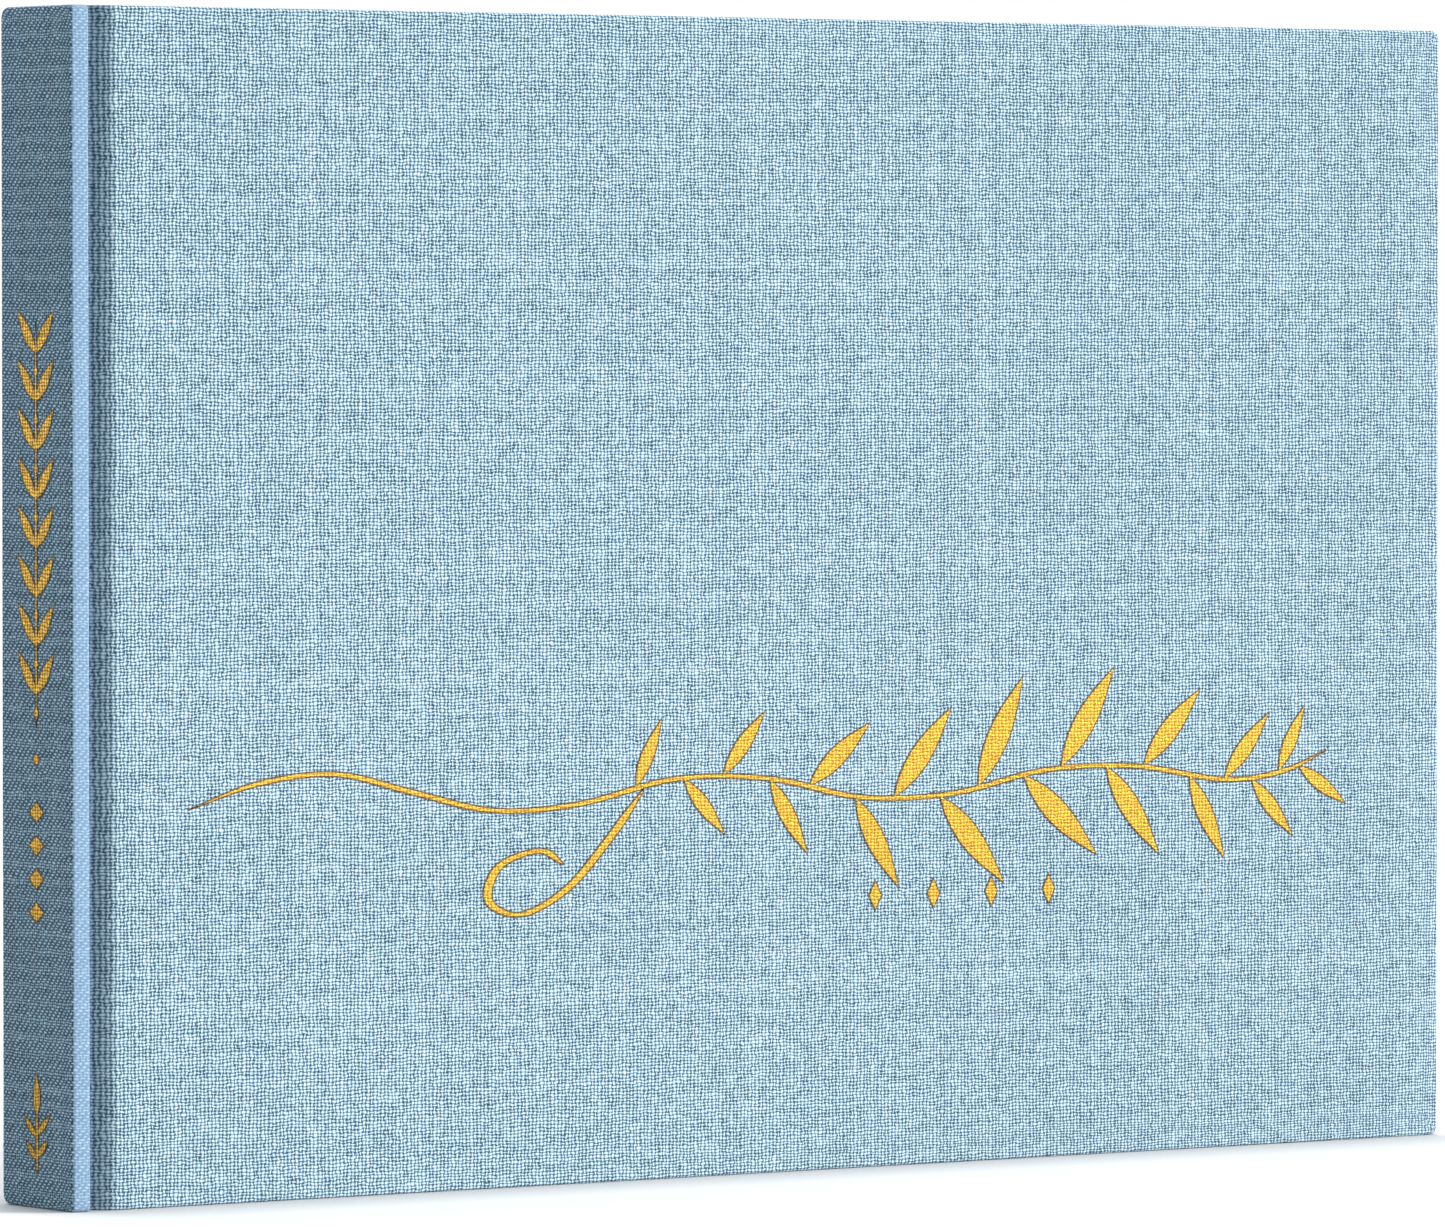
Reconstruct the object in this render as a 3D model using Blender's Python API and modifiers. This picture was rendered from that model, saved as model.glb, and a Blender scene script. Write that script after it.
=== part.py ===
"""A landscape guest book: a flat-backed case binding in bookcloth with French grooves.

Frame: +X runs from the spine to the fore-edge, -Y is the front cover's outer side, +Z is up, and the
origin is under the middle of the book, which stands closed on its tail edge. Sizes are in millimetres
and become metres where the objects are made. "Depth" is a distance from the book's middle plane, y = 0,
towards either cover, so one function builds the front piece and its mirror image at the back.
"""
import math

import bmesh
import bpy
from mathutils import Matrix, Vector

MM = 0.001

# The closed book
HEIGHT = 180.0
WIDTH = 262.6
THICKNESS = 20.0

# The case: board, and one thickness of cloth outside it and one turned in behind it
BOARD = 2.2
CLOTH = 0.45
TURN_IN = 0.35
TURN_IN_REACH = 15.0
GROOVE = 5.0
CORNER_RADIUS = 1.3
SPINE_CORNER_RADIUS = 1.7
EDGE_RADIUS = 0.45

# The text block: folded sections of thick writing paper
SECTIONS = 12
SQUARE = 3.0
ENDPAPER = 0.18
SECTION_BODY = 1.0
SECTION_FOLD = 0.52
FOLD_TAPER = 14.0

# The back of the block
LINING = 0.15
MULL = 0.15
MULL_FLANGE_REACH = 24.0
THREAD = 0.26
SEWING_STATIONS = 5
STITCH_SPACING = 2.4
BAND_RADIUS = 0.85
BAND_TAIL = 12.0

# Stamped foil
FOIL = 0.06
FOIL_GAP = 0.03
THIN_STROKE = 0.95
THICK_STROKE = 1.9
FRONT_LEAVES = 18
SPINE_LEAF_PAIRS = 8

# Pieces that touch are parted by this much, so that no two solids share a face
FIT = 0.05

# Places that follow from the sizes above
SPINE_X = -WIDTH / 2
FORE_X = WIDTH / 2
OUTER = THICKNESS / 2
BOARD_OUTER = OUTER - CLOTH - FIT
BOARD_INNER = BOARD_OUTER - BOARD
CASE_INNER = BOARD_INNER - FIT - TURN_IN
SPINE_INNER_X = SPINE_X + 2 * CLOTH + 2 * FIT + BOARD
COVER_X = SPINE_INNER_X + GROOVE
HINGE_X = SPINE_INNER_X
HINGE_DEPTH = CASE_INNER + CLOTH
PASTEDOWN_DEPTH = CASE_INNER - FIT
FLYLEAF_DEPTH = PASTEDOWN_DEPTH - ENDPAPER - FIT
BLOCK_HALF = FLYLEAF_DEPTH - ENDPAPER - FIT
SECTION_PITCH = 2 * BLOCK_HALF / SECTIONS
LEAF_TAIL = SQUARE
LEAF_HEAD = HEIGHT - SQUARE
LEAF_FORE_X = FORE_X - SQUARE
LINING_X = SPINE_INNER_X + 0.4
MULL_X = LINING_X + LINING + FIT
BACKING_X = MULL_X + MULL + FIT
FOLD_X = BACKING_X + THREAD + 0.1 + SECTION_FOLD / 2
FLYLEAF_X = BACKING_X + ENDPAPER / 2

CLOTH_BLUE = (0.36, 0.56, 0.66, 1.0)
CARD_GREY = (0.33, 0.31, 0.28, 1.0)
PAPER_WHITE = (0.86, 0.84, 0.78, 1.0)
GAUZE_WHITE = (0.80, 0.79, 0.74, 1.0)
KRAFT_BROWN = (0.46, 0.34, 0.21, 1.0)
THREAD_WHITE = (0.88, 0.87, 0.83, 1.0)
BAND_BLUE = (0.62, 0.72, 0.78, 1.0)
FOIL_GOLD = (0.83, 0.56, 0.16, 1.0)


def clear_scene():
    for obj in list(bpy.data.objects):
        bpy.data.objects.remove(obj, do_unlink=True)


def new_collection(name):
    group = bpy.data.collections.new(name)
    bpy.context.scene.collection.children.link(group)
    return group


def finish(obj, colour, roughness, metallic=0.0):
    """Gives a piece its own material."""
    surface = bpy.data.materials.new(obj.name)
    surface.use_nodes = True
    shader = surface.node_tree.nodes["Principled BSDF"]
    shader.inputs["Base Color"].default_value = colour
    shader.inputs["Roughness"].default_value = roughness
    shader.inputs["Metallic"].default_value = metallic
    obj.data.materials.append(surface)
    return obj


def pivot(name, x, y):
    """An empty on a joint's axis, which is upright."""
    empty = bpy.data.objects.new(name, None)
    empty.location = (x * MM, y * MM, HEIGHT / 2 * MM)
    empty.empty_display_size = 10 * MM
    PARTS.objects.link(empty)
    return empty


def hang(obj, empty):
    """Parents a piece to its joint's empty and leaves it where it is."""
    obj.parent = empty
    obj.matrix_parent_inverse = Matrix.Translation(empty.location).inverted()


def box(name, x, y, z, group, corner_radius=0.0, corner_axis="Y"):
    """A box between two x, two y and two z, with the four edges along one axis rounded if asked."""
    low = Vector((min(x), min(y), min(z))) * MM
    high = Vector((max(x), max(y), max(z))) * MM
    shape = bmesh.new()
    bmesh.ops.create_cube(shape, size=1.0, matrix=Matrix.Diagonal((*(high - low), 1.0)))
    if corner_radius:
        along = "XYZ".index(corner_axis)
        corners = []
        for edge in shape.edges:
            step = edge.verts[1].co - edge.verts[0].co
            if abs(step[along]) > 0.999 * step.length:
                corners.append(edge)
        bmesh.ops.bevel(
            shape, geom=corners, offset=corner_radius * MM, segments=4, profile=0.5, affect="EDGES"
        )
    mesh = bpy.data.meshes.new(name)
    shape.to_mesh(mesh)
    shape.free()
    obj = bpy.data.objects.new(name, mesh)
    obj.location = (low + high) / 2
    group.objects.link(obj)
    return obj


def soften(obj, radius, segments=2):
    bevel = obj.modifiers.new("edges", "BEVEL")
    bevel.width = radius * MM
    bevel.segments = segments
    bevel.limit_method = "ANGLE"
    bevel.angle_limit = math.radians(50)


def cut(obj, cutter):
    cutter.hide_render = True
    cutter.display_type = "WIRE"
    boolean = obj.modifiers.new(cutter.name, "BOOLEAN")
    boolean.operation = "DIFFERENCE"
    boolean.object = cutter


def flat_shape(name, outline, thickness, location, rotation=(0.0, 0.0, 0.0)):
    """A closed outline in a plane, in mm from location, filled and given a thickness."""
    curve = bpy.data.curves.new(name, "CURVE")
    curve.dimensions = "2D"
    curve.fill_mode = "BOTH"
    curve.extrude = thickness / 2 * MM
    spline = curve.splines.new("POLY")
    spline.points.add(len(outline) - 1)
    for point, (x, y) in zip(spline.points, outline):
        point.co = (x * MM, y * MM, 0.0, 1.0)
    spline.use_cyclic_u = True
    obj = bpy.data.objects.new(name, curve)
    obj.location = Vector(location) * MM
    obj.rotation_euler = rotation
    PARTS.objects.link(obj)
    return obj


def as_mesh(obj, group):
    """The same flat shape as a welded mesh, which a Boolean can take."""
    bpy.context.view_layer.update()
    graph = bpy.context.evaluated_depsgraph_get()
    mesh = bpy.data.meshes.new_from_object(obj.evaluated_get(graph))
    shape = bmesh.new()
    shape.from_mesh(mesh)
    bmesh.ops.remove_doubles(shape, verts=shape.verts, dist=0.001 * MM)
    bmesh.ops.recalc_face_normals(shape, faces=shape.faces)
    shape.to_mesh(mesh)
    shape.free()
    name = obj.name
    place = obj.matrix_world.copy()
    bpy.data.objects.remove(obj, do_unlink=True)
    solid = bpy.data.objects.new(name, mesh)
    solid.matrix_world = place
    group.objects.link(solid)
    return solid


def joined_shape(name, outlines, thickness, location, rotation):
    """Flat outlines that overlap, joined to the first of them as one solid."""
    first = as_mesh(flat_shape(name, outlines[0], thickness, location, rotation), PARTS)
    extras = bpy.data.collections.new(f"{name}_additions")
    CUTTERS.children.link(extras)
    for number, outline in enumerate(outlines[1:], start=1):
        part = flat_shape(f"{name}_addition_{number:02d}", outline, thickness, location, rotation)
        part = as_mesh(part, extras)
        part.hide_render = True
        part.display_type = "WIRE"
    union = first.modifiers.new("additions", "BOOLEAN")
    union.operation = "UNION"
    union.operand_type = "COLLECTION"
    union.collection = extras
    return first


def arc(centre, radius, start, end, steps):
    """Points on an arc, with its angles in degrees."""
    points = []
    for step in range(steps + 1):
        angle = math.radians(start + (end - start) * step / steps)
        points.append((centre[0] + radius * math.cos(angle), centre[1] + radius * math.sin(angle)))
    return points


def depths(side, inner, outer):
    """The y of two depths, on the front (side -1) or the back (side +1)."""
    return (side * inner, side * outer)


# ---------------------------------------------------------------- the case

def make_cover(label, side):
    """Board, cloth with its turn-ins, the cloth of the groove, and what is pasted inside."""
    hinge = pivot(f"{label}_cover_hinge", HINGE_X, side * HINGE_DEPTH)

    board_x = (COVER_X + CLOTH + FIT, FORE_X - CLOTH - FIT)
    board_z = (CLOTH + FIT, HEIGHT - CLOTH - FIT)
    board_y = depths(side, BOARD_INNER, BOARD_OUTER)
    board = box(f"{label}_board", board_x, board_y, board_z, PARTS, CORNER_RADIUS - CLOTH)

    cloth_y = depths(side, CASE_INNER, OUTER)
    cloth = box(f"{label}_cloth", (COVER_X, FORE_X), cloth_y, (0.0, HEIGHT), PARTS, CORNER_RADIUS)
    soften(cloth, EDGE_RADIUS)
    room_x = (COVER_X + CLOTH, FORE_X - CLOTH)
    room_y = depths(side, BOARD_INNER - FIT, BOARD_OUTER + FIT)
    room = box(f"{label}_board_room", room_x, room_y, (CLOTH, HEIGHT - CLOTH), CUTTERS, 0.5)
    window_x = (COVER_X + CLOTH, FORE_X - TURN_IN_REACH)
    window_y = depths(side, CASE_INNER - 1.0, BOARD_OUTER - 1.0)
    window_z = (TURN_IN_REACH, HEIGHT - TURN_IN_REACH)
    window = box(f"{label}_turn_in_window", window_x, window_y, window_z, CUTTERS)
    cut(cloth, room)
    cut(cloth, window)

    joint_x = (SPINE_INNER_X + FIT, COVER_X - FIT)
    joint_y = depths(side, CASE_INNER, HINGE_DEPTH)
    joint = box(f"{label}_joint_cloth", joint_x, joint_y, (0.0, HEIGHT), PARTS)

    flange_x = (COVER_X + CLOTH + FIT, COVER_X + MULL_FLANGE_REACH)
    flange_y = depths(side, BOARD_INNER - FIT - MULL, BOARD_INNER - FIT)
    flange_z = (TURN_IN_REACH + 2.0, HEIGHT - TURN_IN_REACH - 2.0)
    flange = box(f"{label}_mull_flange", flange_x, flange_y, flange_z, PARTS)

    paste_x = (SPINE_INNER_X + 4 * FIT, LEAF_FORE_X)
    paste_y = depths(side, PASTEDOWN_DEPTH - ENDPAPER, PASTEDOWN_DEPTH)
    pastedown = box(f"{label}_pastedown", paste_x, paste_y, (LEAF_TAIL, LEAF_HEAD), PARTS)

    finish(board, CARD_GREY, 0.9)
    finish(cloth, CLOTH_BLUE, 0.85)
    finish(joint, CLOTH_BLUE, 0.85)
    finish(flange, GAUZE_WHITE, 0.9)
    finish(pastedown, PAPER_WHITE, 0.8)
    for piece in (board, cloth, joint, flange, pastedown):
        hang(piece, hinge)
    return hinge


def make_spine():
    """The stiff spine strip of the case, wrapped in cloth that turns in at head and tail."""
    board_x = (SPINE_X + CLOTH + FIT, SPINE_X + CLOTH + FIT + BOARD)
    board_y = (-BOARD_OUTER, BOARD_OUTER)
    board_z = (CLOTH + FIT, HEIGHT - CLOTH - FIT)
    finish(box("spine_board", board_x, board_y, board_z, PARTS), CARD_GREY, 0.9)

    cloth_x = (SPINE_X, SPINE_INNER_X)
    cloth = box("spine_cloth", cloth_x, (-OUTER, OUTER), (0.0, HEIGHT), PARTS, SPINE_CORNER_RADIUS, "X")
    soften(cloth, EDGE_RADIUS)
    room_x = (SPINE_X + CLOTH, SPINE_INNER_X - CLOTH)
    room_y = (-BOARD_OUTER - FIT, BOARD_OUTER + FIT)
    room = box("spine_board_room", room_x, room_y, (CLOTH, HEIGHT - CLOTH), CUTTERS)
    window_x = (SPINE_INNER_X - 1.5, SPINE_INNER_X + 1.0)
    window_y = (-HINGE_DEPTH, HINGE_DEPTH)
    window_z = (TURN_IN_REACH, HEIGHT - TURN_IN_REACH)
    window = box("spine_turn_in_window", window_x, window_y, window_z, CUTTERS)
    cut(cloth, room)
    cut(cloth, window)
    finish(cloth, CLOTH_BLUE, 0.85)


# ---------------------------------------------------------------- the text block

def section_outline():
    """A section end-on, from its fold at 0, 0: the round back of the fold, the pinch and the leaves."""
    length = LEAF_FORE_X - FOLD_X
    body = SECTION_BODY / 2
    outline = [(length, body), (FOLD_TAPER, body)]
    outline += arc((0.0, 0.0), SECTION_FOLD / 2, 90, 270, 6)
    outline += [(FOLD_TAPER, -body), (length, -body)]
    return outline


def make_section(number):
    """One section of folded sheets, turning about its fold."""
    y = -BLOCK_HALF + (number - 0.5) * SECTION_PITCH
    name = f"section_{number:02d}"
    centre = (FOLD_X, y, HEIGHT / 2)
    section = flat_shape(name, section_outline(), LEAF_HEAD - LEAF_TAIL, centre)
    fold = pivot(f"{name}_fold", FOLD_X, y)
    hang(finish(section, PAPER_WHITE, 0.8), fold)


def make_flyleaf(label, side):
    """The free half of an endpaper."""
    leaf_y = depths(side, FLYLEAF_DEPTH - ENDPAPER, FLYLEAF_DEPTH)
    leaf_x = (FLYLEAF_X - ENDPAPER / 2, LEAF_FORE_X)
    leaf = box(f"{label}_flyleaf", leaf_x, leaf_y, (LEAF_TAIL, LEAF_HEAD), PARTS)
    fold = pivot(f"{label}_flyleaf_fold", FLYLEAF_X, side * (FLYLEAF_DEPTH - ENDPAPER / 2))
    hang(finish(leaf, PAPER_WHITE, 0.8), fold)


def make_backing():
    """What holds the sections together behind their folds."""
    span = BLOCK_HALF - 2 * FIT
    lining_z = (LEAF_TAIL + 3.0, LEAF_HEAD - 3.0)
    lining = box("spine_lining", (LINING_X, LINING_X + LINING), (-span, span), lining_z, PARTS)
    mull_z = (TURN_IN_REACH + 2.0, HEIGHT - TURN_IN_REACH - 2.0)
    mull = box("mull", (MULL_X, MULL_X + MULL), (-span, span), mull_z, PARTS)
    finish(lining, KRAFT_BROWN, 0.85)
    finish(mull, GAUZE_WHITE, 0.9)


def make_sewing():
    """One thread that crosses all the folds at each station and climbs from one station to the next."""
    curve = bpy.data.curves.new("sewing_thread", "CURVE")
    curve.dimensions = "3D"
    curve.bevel_depth = THREAD / 2 * MM
    curve.bevel_resolution = 2
    curve.use_fill_caps = True
    first = LEAF_TAIL + BAND_TAIL + 6.0
    last = LEAF_HEAD - BAND_TAIL - 6.0
    span = BLOCK_HALF - SECTION_PITCH / 4
    thread_x = BACKING_X + 0.02 + THREAD / 2
    route = []
    for station in range(SEWING_STATIONS):
        middle = first + (last - first) * station / (SEWING_STATIONS - 1)
        for offset, start in ((-STITCH_SPACING / 2, -span), (STITCH_SPACING / 2, span)):
            route.append((thread_x, start, middle + offset))
            route.append((thread_x, -start, middle + offset))
    spline = curve.splines.new("POLY")
    spline.points.add(len(route) - 1)
    for point, place in zip(spline.points, route):
        point.co = (*(Vector(place) * MM), 1.0)
    thread = bpy.data.objects.new("sewing_thread", curve)
    PARTS.objects.link(thread)
    finish(thread, THREAD_WHITE, 0.7)


def make_band(name, end):
    """A woven band: a bead across the end of the block, with its tape behind the folds."""
    bead_x = BACKING_X + BAND_RADIUS * 0.55
    bead_z = SQUARE - BAND_RADIUS - 0.15
    tape = (BACKING_X + 0.03, BACKING_X + 0.23)
    left = math.degrees(math.acos((tape[0] - bead_x) / BAND_RADIUS))
    right = math.degrees(math.acos((tape[1] - bead_x) / BAND_RADIUS))
    profile = [(tape[0], LEAF_TAIL + BAND_TAIL)]
    profile += arc((bead_x, bead_z), BAND_RADIUS, left, right + 360, 18)
    profile += [(tape[1], LEAF_TAIL + BAND_TAIL)]
    if end == "head":
        profile = [(x, HEIGHT - z) for x, z in profile]
    span = BLOCK_HALF - 2 * FIT
    band = flat_shape(name, profile, 2 * span, (0.0, 0.0, 0.0), (math.radians(90), 0.0, 0.0))
    finish(band, BAND_BLUE, 0.7)


# ---------------------------------------------------------------- stamped foil

def smooth_path(points, steps):
    """A smooth line through a few points, by the Catmull-Rom rule."""
    ends = [2 * Vector(points[0]) - Vector(points[1]), 2 * Vector(points[-1]) - Vector(points[-2])]
    knots = [ends[0]] + [Vector(point) for point in points] + [ends[1]]
    path = []
    for a, b, c, d in zip(knots, knots[1:], knots[2:], knots[3:]):
        for step in range(steps):
            t = step / steps
            bend = 2 * a - 5 * b + 4 * c - d
            twist = 3 * b - a - 3 * c + d
            path.append(0.5 * (2 * b + (c - a) * t + bend * t**2 + twist * t**3))
    path.append(knots[-2])
    return path


def pen_stroke(points, steps, thin, thick):
    """The outline of a pen's stroke: thin across, thick going down, and pointed at its ends."""
    path = smooth_path(points, steps)
    left = []
    right = []
    for index, point in enumerate(path):
        ahead = path[min(index + 1, len(path) - 1)] - path[max(index - 1, 0)]
        ahead.normalize()
        share = index / (len(path) - 1)
        press = abs(ahead.y) ** 1.5
        swell = min(1.0, 0.3 + 9.0 * min(share, 1.0 - share))
        half = (thin + (thick - thin) * press) / 2 * swell
        across = Vector((-ahead.y, ahead.x)) * half
        left.append(tuple(point + across))
        right.append(tuple(point - across))
    return left + right[::-1]


def leaf(base, angle, length, width, steps=7):
    """A slender pointed leaf, as two arcs that meet at its base and its tip."""
    heading = math.radians(angle)
    along = Vector((math.cos(heading), math.sin(heading)))
    across = Vector((-along.y, along.x))
    upper = []
    lower = []
    for step in range(steps + 1):
        share = step / steps
        bulge = math.sin(math.pi * share**0.85) * width / 2
        middle = Vector(base) + along * length * share
        upper.append(tuple(middle + across * bulge))
        lower.append(tuple(middle - across * bulge))
    return upper + lower[-2:0:-1]


def lozenge(centre, width, height):
    x, y = centre
    return [(x - width / 2, y), (x, y - height / 2), (x + width / 2, y), (x, y + height / 2)]


def leaves_along(path, places, slant):
    """Leaves in turn above and below a stem, growing out of its middle."""
    outlines = []
    for number, (share, length) in enumerate(places):
        index = round(share * (len(path) - 1))
        side = 1 if number % 2 == 0 else -1
        ahead = (path[min(index + 1, len(path) - 1)] - path[max(index - 1, 0)]).normalized()
        heading = math.degrees(math.atan2(ahead.y, ahead.x)) + side * slant
        outlines.append(leaf(path[index], heading, length, length * 0.22))
    return outlines


def front_flourish():
    """A long pen swash that runs out into a leafy sprig, from the spine's edge and the tail."""
    stem = [(20.5, 59.6), (33.0, 63.2), (47.0, 64.3), (61.0, 61.2), (76.0, 58.0), (92.0, 58.6),
            (110.0, 62.0), (128.0, 61.6), (146.0, 58.2), (164.0, 58.4), (182.0, 61.6), (200.0, 61.8),
            (218.0, 59.2), (230.0, 60.2), (239.2, 63.4)]
    curl = [(104.0, 60.4), (97.0, 52.5), (89.5, 45.5), (81.0, 41.9), (75.0, 44.2), (77.0, 49.4),
            (84.5, 51.6), (89.0, 49.4)]
    outlines = [pen_stroke(stem, 6, THIN_STROKE, THICK_STROKE)]
    outlines.append(pen_stroke(curl, 6, THIN_STROKE, THICK_STROKE))
    path = smooth_path(stem, 12)
    places = []
    for number in range(FRONT_LEAVES):
        along = number / (FRONT_LEAVES - 1)
        length = 12.0 + 8.0 * math.sin(math.pi * along) ** 2
        places.append((0.40 + 0.555 * along, length))
    return outlines + leaves_along(path, places, 52.0)


def spine_vine():
    """A thin upright stem with leaf pairs and a bud between each pair."""
    top = 133.0
    spacing = 7.3
    outlines = [pen_stroke([(0.0, 72.0), (0.0, 100.0), (0.0, top)], 6, 0.6, 0.7)]
    for number in range(SPINE_LEAF_PAIRS):
        z = top - 5.0 - spacing * number
        outlines.append(leaf((0.0, z), 52.0, 8.4, 2.4))
        outlines.append(leaf((0.0, z), 128.0, 8.4, 2.4))
        outlines.append(lozenge((0.0, z - 2.6), 1.6, 3.0))
    return outlines


def foot_bud():
    outlines = [pen_stroke([(0.0, 5.2), (0.0, 9.5), (0.0, 14.5)], 5, 0.7, 0.9)]
    outlines.append(leaf((0.0, 13.5), 90.0, 7.0, 2.2))
    for z, length in ((10.9, 5.2), (7.6, 4.4)):
        outlines.append(leaf((0.0, z), 42.0, length, 1.5))
        outlines.append(leaf((0.0, z - 0.4), 138.0, length, 1.5))
    return outlines


def make_front_foil(hinge):
    turned = (math.radians(90), 0.0, 0.0)
    place = (SPINE_X, -OUTER - FOIL_GAP - FOIL / 2, 0.0)
    pieces = [joined_shape("front_flourish", front_flourish(), FOIL, place, turned)]
    for number in range(4):
        outline = lozenge((148.5 + 11.4 * number, 42.7), 2.7, 5.2)
        pieces.append(flat_shape(f"front_lozenge_{number + 1}", outline, FOIL, place, turned))
    for piece in pieces:
        hang(finish(piece, FOIL_GOLD, 0.35, 1.0), hinge)


def make_spine_foil():
    turned = (math.radians(90), 0.0, math.radians(-90))
    place = (SPINE_X - FOIL_GAP - FOIL / 2, 0.0, 0.0)
    pieces = [joined_shape("spine_vine", spine_vine(), FOIL, place, turned)]
    pieces.append(joined_shape("spine_bud", foot_bud(), FOIL, place, turned))
    dot = arc((0.0, 67.3), 0.9, 0, 330, 11)
    pieces.append(flat_shape("spine_dot", dot, FOIL, place, turned))
    for number in range(4):
        outline = lozenge((0.0, 59.4 - 5.0 * number), 4.6, 3.4)
        pieces.append(flat_shape(f"spine_lozenge_{number + 1}", outline, FOIL, place, turned))
    for piece in pieces:
        finish(piece, FOIL_GOLD, 0.35, 1.0)


# ---------------------------------------------------------------- the book

clear_scene()
PARTS = new_collection("guest_book")
CUTTERS = new_collection("cutters")

make_spine()
front_hinge = make_cover("front", -1)
make_cover("back", 1)
make_backing()
make_sewing()
make_band("tailband", "tail")
make_band("headband", "head")
for section_number in range(1, SECTIONS + 1):
    make_section(section_number)
make_flyleaf("front", -1)
make_flyleaf("back", 1)
make_front_foil(front_hinge)
make_spine_foil()
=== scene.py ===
"""The finish of a landscape guest book: linen bookcloth, stamped foil, writing paper and bands.

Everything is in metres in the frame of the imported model: +X from the spine to the fore-edge, -Y out of
the front cover, +Z up. Lengths are written in millimetres times MM.
"""
import math
import random

import bmesh
import bpy
from mathutils import Matrix, Vector


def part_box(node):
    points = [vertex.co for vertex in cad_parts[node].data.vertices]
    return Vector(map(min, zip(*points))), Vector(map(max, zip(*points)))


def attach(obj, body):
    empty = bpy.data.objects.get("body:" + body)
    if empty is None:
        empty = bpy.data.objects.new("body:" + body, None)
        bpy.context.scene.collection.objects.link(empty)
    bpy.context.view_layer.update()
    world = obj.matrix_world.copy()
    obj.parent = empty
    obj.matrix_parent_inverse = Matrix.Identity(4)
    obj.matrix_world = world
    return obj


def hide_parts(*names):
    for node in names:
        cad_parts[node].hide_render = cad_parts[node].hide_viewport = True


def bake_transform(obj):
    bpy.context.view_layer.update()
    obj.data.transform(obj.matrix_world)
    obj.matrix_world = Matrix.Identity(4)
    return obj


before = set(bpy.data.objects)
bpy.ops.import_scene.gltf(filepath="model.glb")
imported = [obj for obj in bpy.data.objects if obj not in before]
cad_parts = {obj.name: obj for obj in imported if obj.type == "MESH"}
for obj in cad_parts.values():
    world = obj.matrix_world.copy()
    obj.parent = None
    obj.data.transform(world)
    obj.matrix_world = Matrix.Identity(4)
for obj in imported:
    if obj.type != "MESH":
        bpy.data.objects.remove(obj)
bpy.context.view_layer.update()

MM = 0.001
FIT = 0.05 * MM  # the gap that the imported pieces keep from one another

# ---------------------------------------------------------------- places, all from the frame

SPINE_LOW, SPINE_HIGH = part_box("spine_cloth")
COVER_LOW, COVER_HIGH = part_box("front_cloth")
BOARD_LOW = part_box("front_board")[0]
JOINT_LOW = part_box("front_joint_cloth")[0]

SPINE_X = SPINE_LOW.x
SPINE_INNER_X = SPINE_HIGH.x
COVER_X = COVER_LOW.x
FORE_X = COVER_HIGH.x
HEIGHT = SPINE_HIGH.z
OUTER = -COVER_LOW.y
CASE_INNER = -COVER_HIGH.y
HINGE_DEPTH = -JOINT_LOW.y
CLOTH = BOARD_LOW.z - FIT

# The cloth over the case: how round it is at its edges and corners
EDGE_ROUND = 0.5 * MM
COVER_CORNER = 1.4 * MM
GROOVE_CORNER = 0.3 * MM
SPINE_FRONT_CORNER = 0.6 * MM
SPINE_BACK_CORNER = 1.7 * MM
LEAST_CORNER = 0.2 * MM
TURN_IN = 15 * MM
INNER_LAYER = 0.75  # the turned-in cloth's inner face, as a share of its thickness

# The groove: where its floor ends, and how its far wall rises onto the cover
FLOOR_STEPS = 6
RISE_START = COVER_X - 4.0 * MM
RISE_END = COVER_X + 0.1 * MM
RISE_STEPS = 12
RISE_POWER = 1.7

# The stamped foil
FOIL_RIM_WIDTH = 0.24 * MM
RIM_LIFT = 0.006 * MM

# The pages
SECTIONS = 12
SHEETS = 3
LEAF = 0.152 * MM
FOLD_RADIUS = 0.26 * MM
LONGEST_TRIM = 0.14 * MM
TALLEST_TRIM = 0.10 * MM

# The bands
BAND_STRAND = 0.19 * MM
BAND_SPACING = 0.34 * MM
BAND_STRIPE = 4
BAND_TAPE = 0.2 * MM

# The weave. Pitches are lengths. The rest are in pitches, but the crimp is a share of a thread's height
WARP_PITCH = 0.68 * MM
WEFT_PITCH = 0.52 * MM
THREAD_HALF = 0.40
CRIMP = 0.36
JOSTLE = 0.75
WARP_WANDER = 1.0
WEFT_WANDER = 1.3

# Corners shallower than this are shaded smooth
SHARP_FOLD = math.radians(40)


# ---------------------------------------------------------------- mesh helpers

def mesh_object(name, shape):
    """A bmesh as an object at the origin, shaded smooth with sharp folds kept."""
    mesh = bpy.data.meshes.new(name)
    shape.to_mesh(mesh)
    shape.free()
    obj = bpy.data.objects.new(name, mesh)
    bpy.context.scene.collection.objects.link(obj)
    mesh.shade_smooth()
    mesh.set_sharp_from_angle(angle=SHARP_FOLD)
    return obj


def dress(obj, surface):
    obj.data.materials.clear()
    obj.data.materials.append(surface)
    return obj


def shares(count):
    """Even shares from 0 to 1, with both ends."""
    return [step / count for step in range(count + 1)]


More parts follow.
